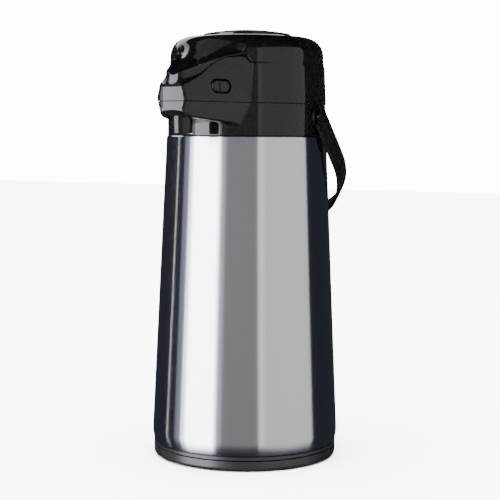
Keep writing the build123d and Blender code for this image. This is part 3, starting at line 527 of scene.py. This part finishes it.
# ---- Pump button, bellows and valve ----
# The big low-domed button slides in the well and squeezes a pleated silicone bellows; a steel spring
# inside lifts it again, and the flap under its plate lets air in.
settle(
    turned(
        [
            (0, 378.2), (13.0, 377.78), (26.0, 376.5), (38.8, 374.5), (38.8, 347.0), (36.6, 347.0),
            (36.6, 372.3), (24.0, 374.4), (12.0, 375.5), (0, 376.0),
        ],
        {1: 5.0, 2: 5.0, 3: 1.0, 4: 0.5},
    ),
    "pump_cap", "button", gloss_black, ["pump_button"],
)
settle(
    turned([(14.3, 364.2), (16.5, 364.2), (16.5, 375.6), (14.3, 375.6)], {}, steps=64),
    "button_stem", "button", gloss_black,
)
# Silicone, moulded: milky and dull, with a soft translucent look.
silicone = moulded("silicone_moulded_milky", "#c9c6bf", "#d6d3cd", 0.45, 0.6, 0.8, 0.01, 1.41)
# Polypropylene, moulded, grey: the hidden parts that need no finish.
grey = moulded("polypropylene_moulded_grey", "#7c7e80", "#86888a", 0.4, 0.5, 1.0, 0.01, 1.49)
# Spring steel, drawn and plated: bright with fine lines along the wire.
spring_steel = brushed("spring_steel_drawn", "#a9a9ab", 0.2, 0.35, 0.6, 4, 0.01)
for name in ("bellows", "air_valve", "lid_gasket", "tube_gasket", "neck_gasket", "liner_cushion"):
    nodes[name].data.materials[0] = silicone
for name in ("lid_plate", "bellows_plate", "tube_head", "liner_cup"):
    nodes[name].data.materials[0] = grey
for name in ("return_spring", "latch_spring_right", "latch_spring_left", "hinge_pin"):
    nodes[name].data.materials[0] = spring_steel


def springy(name, body):
    """Twin of a CAD spring or bellows, on a body in place of the CAD node."""
    twin = bpy.data.objects.new(f"{name}_soft", nodes[name].data.copy())
    bpy.context.scene.collection.objects.link(twin)
    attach(twin, body)
    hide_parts(name)
    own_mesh(twin)


springy("bellows", "lid")
springy("return_spring", "lid")

# ---- Latch buttons ----
# Two oval push buttons let into the sides of the beak; the front end of each is domed up to meet a
# thumb, and pressing both lets the lid swing open. Each sits in an oval hole 1 mm larger all round.
def latch_frame(side):
    """Frame of a latch button: x back along the side face, y up, z out of the beak."""
    out = Vector((side * math.cos(side_spread), -math.sin(side_spread), 0.13)).normalized()
    back = Vector((side * math.sin(side_spread), math.cos(side_spread), 0))
    lift = out.cross(back) * (1 if side < 0 else -1)
    place = Matrix((back, lift, out)).transposed().to_4x4()
    place.translation = (side * 26.9, -84.9, 325.4)
    return place


def oval(length, width, low, high, edge):
    """Oval bar in mm with a rounded upper rim."""
    shape = bmesh.new()
    bmesh.ops.create_circle(shape, cap_ends=True, segments=48, radius=width / 2)
    bmesh.ops.rotate(
        shape, verts=shape.verts[:], cent=(0, 0, 0), matrix=Matrix.Rotation(math.radians(3.75), 3, "Z")
    )
    for vert in shape.verts:
        vert.co.x += math.copysign((length - width) / 2, vert.co.x)
        vert.co.z = low
    top = bmesh.ops.extrude_face_region(shape, geom=shape.faces[:])["geom"]
    lifted = [v for v in top if isinstance(v, bmesh.types.BMVert)]
    bmesh.ops.translate(shape, vec=(0, 0, high - low), verts=lifted)
    bmesh.ops.recalc_face_normals(shape, faces=shape.faces[:])
    if edge:
        rim = [e for e in shape.edges if all(abs(v.co.z - high) < 0.001 for v in e.verts)]
        bmesh.ops.bevel(shape, geom=rim, offset=edge, segments=4, profile=0.5, affect="EDGES", material=-1)
    return shape


for side, place in ((1, "right"), (-1, "left")):
    hole = oval(20.6, 12.4, -6.0, 6.0, 0)
    bmesh.ops.transform(hole, matrix=latch_frame(side), verts=hole.verts[:])
    bmesh.ops.recalc_face_normals(hole, faces=hole.faces[:])
    bmesh.ops.scale(hole, vec=(0.001, 0.001, 0.001), verts=hole.verts[:])
    cutter_mesh = bpy.data.meshes.new(f"latch_hole_{place}")
    hole.to_mesh(cutter_mesh)
    hole.free()
    cutter = bpy.data.objects.new(f"latch_hole_{place}", cutter_mesh)
    bpy.context.scene.collection.objects.link(cutter)
    cut = lid_skin.modifiers.new(f"latch_hole_{place}", "BOOLEAN")
    cut.object = cutter
    cut.operation = "DIFFERENCE"
    cut.solver = "EXACT"
    lid_skin.modifiers.move(len(lid_skin.modifiers) - 1, len(lid_skin.modifiers) - 2)
    bpy.context.view_layer.update()

firm_up(lid_skin, rim_crease)
for place in ("right", "left"):
    bpy.data.objects.remove(bpy.data.objects[f"latch_hole_{place}"])

for side, place in ((1, "right"), (-1, "left")):
    key = oval(18.6, 10.4, -5.5, 0.0, 1.4)
    long_sides = [
        e for e in key.edges if e.calc_length() > 6 and abs(e.verts[0].co.z - e.verts[1].co.z) < 0.1
    ]
    bmesh.ops.subdivide_edges(key, edges=long_sides, cuts=6, use_grid_fill=True)
    for vert in key.verts:
        if vert.co.z > -1.0:
            vert.co.z += 1.5 * math.exp(-(((vert.co.x + 5.0) / 2.4) ** 2))
    bmesh.ops.transform(key, matrix=latch_frame(side), verts=key.verts[:])
    bmesh.ops.recalc_face_normals(key, faces=key.faces[:])
    settle(
        key, f"latch_key_{place}", f"latch_{place}", gloss_black,
        [f"latch_button_{place}"],
    )
    springy(
        f"latch_spring_{place}", "lid",
    )

# ---- Carry handle ----
# One black moulded strap, 19.5 by 3 mm, in a long U with round ears; it hangs on two pins in the
# sides of the collar and swings clear of the casing.
strap_half = 9.75
strap_edge = 0.9
strap_middle = 74.0
arm_length = 49.6
handle = bmesh.new()
half_section = [
    handle.verts.new((strap_middle - 1.5, 0, 0)),
    handle.verts.new((strap_middle - 1.5, strap_half, 0)),
    handle.verts.new((strap_middle + 1.5, strap_half, 0)),
    handle.verts.new((strap_middle + 1.5, 0, 0)),
]
lower_half = [
    handle.verts.new((strap_middle + 1.5, -strap_half, 0)),
    handle.verts.new((strap_middle - 1.5, -strap_half, 0)),
]
section_face = handle.faces.new(half_section + lower_half)
bmesh.ops.bevel(
    handle, geom=[half_section[1], half_section[2], *lower_half], offset=strap_edge, segments=4,
    profile=0.5, affect="VERTICES", material=-1,
)
bmesh.ops.delete(handle, geom=handle.faces[:], context="FACES_ONLY")
section = handle.verts[:] + handle.edges[:]
half = [v for v in handle.verts if v.co.y > -0.001]
half += [
    e for e in handle.edges
    if all(v.co.y > -0.001 for v in e.verts) and any(v.co.y > 0.001 for v in e.verts)
]
bmesh.ops.spin(
    handle, geom=half, cent=(0, 0, 0), axis=(1, 0, 0), angle=-math.pi, steps=36, use_duplicate=True
)
section_edges = [e for e in section if isinstance(e, bmesh.types.BMEdge)]
arm = bmesh.ops.extrude_edge_only(handle, edges=section_edges)["geom"]
arm_end = [v for v in arm if isinstance(v, bmesh.types.BMVert)]
bmesh.ops.translate(handle, vec=(0, 0, arm_length), verts=arm_end)
rim = [e for e in arm if isinstance(e, bmesh.types.BMEdge) and all(v in arm_end for v in e.verts)]
bmesh.ops.spin(
    handle, geom=arm_end + rim, cent=(0, 0, arm_length), axis=(0, 1, 0), angle=-math.pi / 2, steps=48
)
bmesh.ops.remove_doubles(handle, verts=handle.verts[:], dist=0.005)
bmesh.ops.mirror(handle, geom=handle.verts[:] + handle.edges[:] + handle.faces[:], axis="X", merge_dist=0.01)
bmesh.ops.remove_doubles(handle, verts=handle.verts[:], dist=0.01)
hang = math.radians(42.75)
bmesh.ops.transform(
    handle,
    matrix=Matrix.Translation((0, 0, pivot_height)) @ Matrix(
        ((1, 0, 0), (0, math.cos(hang), math.sin(hang)), (0, math.sin(hang), -math.cos(hang)))
    ).to_4x4(),
    verts=handle.verts[:],
)
bmesh.ops.recalc_face_normals(handle, faces=handle.faces[:])
# Nylon, moulded: black with a silky sheen from a fine spark-eroded grain.
nylon = moulded("nylon_moulded_black", "#060607", "#0a0a0b", 0.16, 0.24, 1.0, 0.004, 1.53, 0.25)
settle(handle, "carry_handle", "handle", nylon, ["handle"])
for name in ("handle_pin_right", "handle_pin_left"):
    nodes[name].data.materials[0] = nylon

# ---- Pouring path and liner ----
# The spout pipe runs from the tube head to a short nozzle under the beak; the liner is two blown
# glass bulbs, silvered on the vacuum side.
spout = turned(
    [(6.2, 286.0), (8.6, 286.0), (9.2, 297.0), (9.2, 309.4), (0, 309.4), (0, 307.5), (6.2, 307.5)],
    {0: 0.4, 1: 0.9, 2: 3.0}, steps=72,
)
bmesh.ops.translate(spout, vec=(0, -103.0, 0), verts=spout.verts[:])
settle(spout, "nozzle_spout", "casing", gloss_black, ["nozzle"])
# Borosilicate glass, blown and silvered: it reads as a bright mirror with a soft waviness.
glass = bpy.data.materials.new("glass_silvered")
glass.use_nodes = True
glass_tree = glass.node_tree
glass_shader = glass_tree.nodes["Principled BSDF"]
glass_shader.inputs["Base Color"].default_value = linear("#d9dadb")
glass_shader.inputs["Metallic"].default_value = 1.0
glass_shader.inputs["Coat Weight"].default_value = 1.0
glass_place = add_node(glass_tree, "ShaderNodeTexCoord")
ripple = add_node(
    glass_tree, "ShaderNodeTexNoise", values={"Scale": 70.0, "Detail": 2.0},
    links={"Vector": glass_place.outputs["Object"]},
)
waves = add_node(
    glass_tree, "ShaderNodeBump", values={"Strength": 0.3, "Distance": 0.0002},
    links={"Height": ripple.outputs["Fac"]},
)
glass_gloss = add_node(
    glass_tree, "ShaderNodeMapRange", values={"To Min": 0.04, "To Max": 0.1},
    links={"Value": ripple.outputs["Fac"]},
)
glass_tree.links.new(waves.outputs[0], glass_shader.inputs["Normal"])
glass_tree.links.new(glass_gloss.outputs[0], glass_shader.inputs["Roughness"])
for name in ("liner_outer_bulb", "liner_inner_bulb", "valve_ball"):
    nodes[name].data.materials[0] = glass
for name in ("dip_tube", "outlet_pipe", "valve_seat", "liner_spacers"):
    nodes[name].data.materials[0] = acetal
nodes["beak_cover"].data.materials[0] = gloss_black
# Carbon steel screws, zinc plated: pale grey with a faint lathe grain.
zinc = brushed("steel_zinc_plated", "#b4b6b8", 0.3, 0.42, 0.5, 6, 0.01)
for name in ("retainer_screws", "cover_screws", "lid_screws"):
    nodes[name].data.materials[0] = zinc

# ---- Studio ----
# A pale floor that is not mirrored, lit by itself from overhead; a tall soft box with a soft rim and
# a thin strip on the left, a wide grey panel on the right, and two weak lights for the top.
floor_shape = bmesh.new()
bmesh.ops.create_grid(floor_shape, x_segments=1, y_segments=1, size=6.0)
floor_mesh = bpy.data.meshes.new("floor")
floor_shape.to_mesh(floor_mesh)
floor_shape.free()
floor = bpy.data.objects.new("floor", floor_mesh)
bpy.context.scene.collection.objects.link(floor)
pale = bpy.data.materials.new("floor_paper_white")
pale.use_nodes = True
paper = pale.node_tree.nodes["Principled BSDF"].inputs
paper["Base Color"].default_value = linear("#f4f4f4")
paper["Roughness"].default_value = 0.9
paper["Specular IOR Level"].default_value = 0.0
floor_mesh.materials.append(pale)
floor.visible_glossy = False


def panel(name, around, up, distance, width, height, power, colour="#ffffff"):
    """Flat soft light that faces the object; around is its angle to the left of the camera."""
    bearing = camera_turn - math.radians(around)
    lamp = bpy.data.objects.new(name, bpy.data.lights.new(name, "AREA"))
    bpy.context.scene.collection.objects.link(lamp)
    lamp.data.shape = "RECTANGLE"
    lamp.data.size = width
    lamp.data.size_y = height
    lamp.data.energy = power
    lamp.data.color = linear(colour)[:3]
    tilt = math.radians(up)
    way = Vector((math.sin(bearing) * math.cos(tilt), -math.cos(bearing) * math.cos(tilt), math.sin(tilt)))
    lamp.location = Vector((0, 0, 0.2)) + way * distance
    lamp.rotation_euler = way.to_track_quat("Z", "Y").to_euler()
    lamp.visible_camera = False


panel("soft_box_left", 58, 4, 2.0, 1.45, 2.6, 112, "#f7f8ff")
panel("soft_box_rim_left", 60, 4, 2.15, 2.0, 2.6, 75, "#e9ecf8")
panel("soft_box_edge_left", 62, 4, 2.3, 3.1, 2.6, 14, "#d4daec")
panel("strip_left", 110, 4, 2.0, 0.02, 2.6, 0.9)
panel("grey_panel_right", -54, 4, 2.0, 3.1, 2.6, 30, "#fbfaff")
panel("room_behind", 6, 4, 2.5, 3.0, 2.6, 9)
panel("top_box_left", 75, 55, 1.6, 1.5, 0.9, 2.4)
panel("top_strip_back", 150, 30, 1.8, 2.2, 0.5, 8)
sky = bpy.data.objects.new("overhead", bpy.data.lights.new("overhead", "SUN"))
bpy.context.scene.collection.objects.link(sky)
sky.data.energy = 30.0
sky.data.angle = math.radians(70)
floor_only = bpy.data.collections.new("floor_only")
floor_only.objects.link(floor)
sky.light_linking.receiver_collection = floor_only

world = bpy.data.worlds.new("studio")
bpy.context.scene.world = world
world.use_nodes = True
air = world.node_tree
seen = add_node(air, "ShaderNodeLightPath")
backdrop = add_node(air, "ShaderNodeBackground", values={"Color": linear("#ffffff"), "Strength": 14.0})
dim = add_node(air, "ShaderNodeBackground", values={"Color": linear("#30333c"), "Strength": 1.0})
choice = add_node(
    air, "ShaderNodeMixShader",
    links={0: seen.outputs["Is Camera Ray"], 1: dim.outputs[0], 2: backdrop.outputs[0]},
)
air.links.new(choice.outputs[0], air.nodes["World Output"].inputs["Surface"])
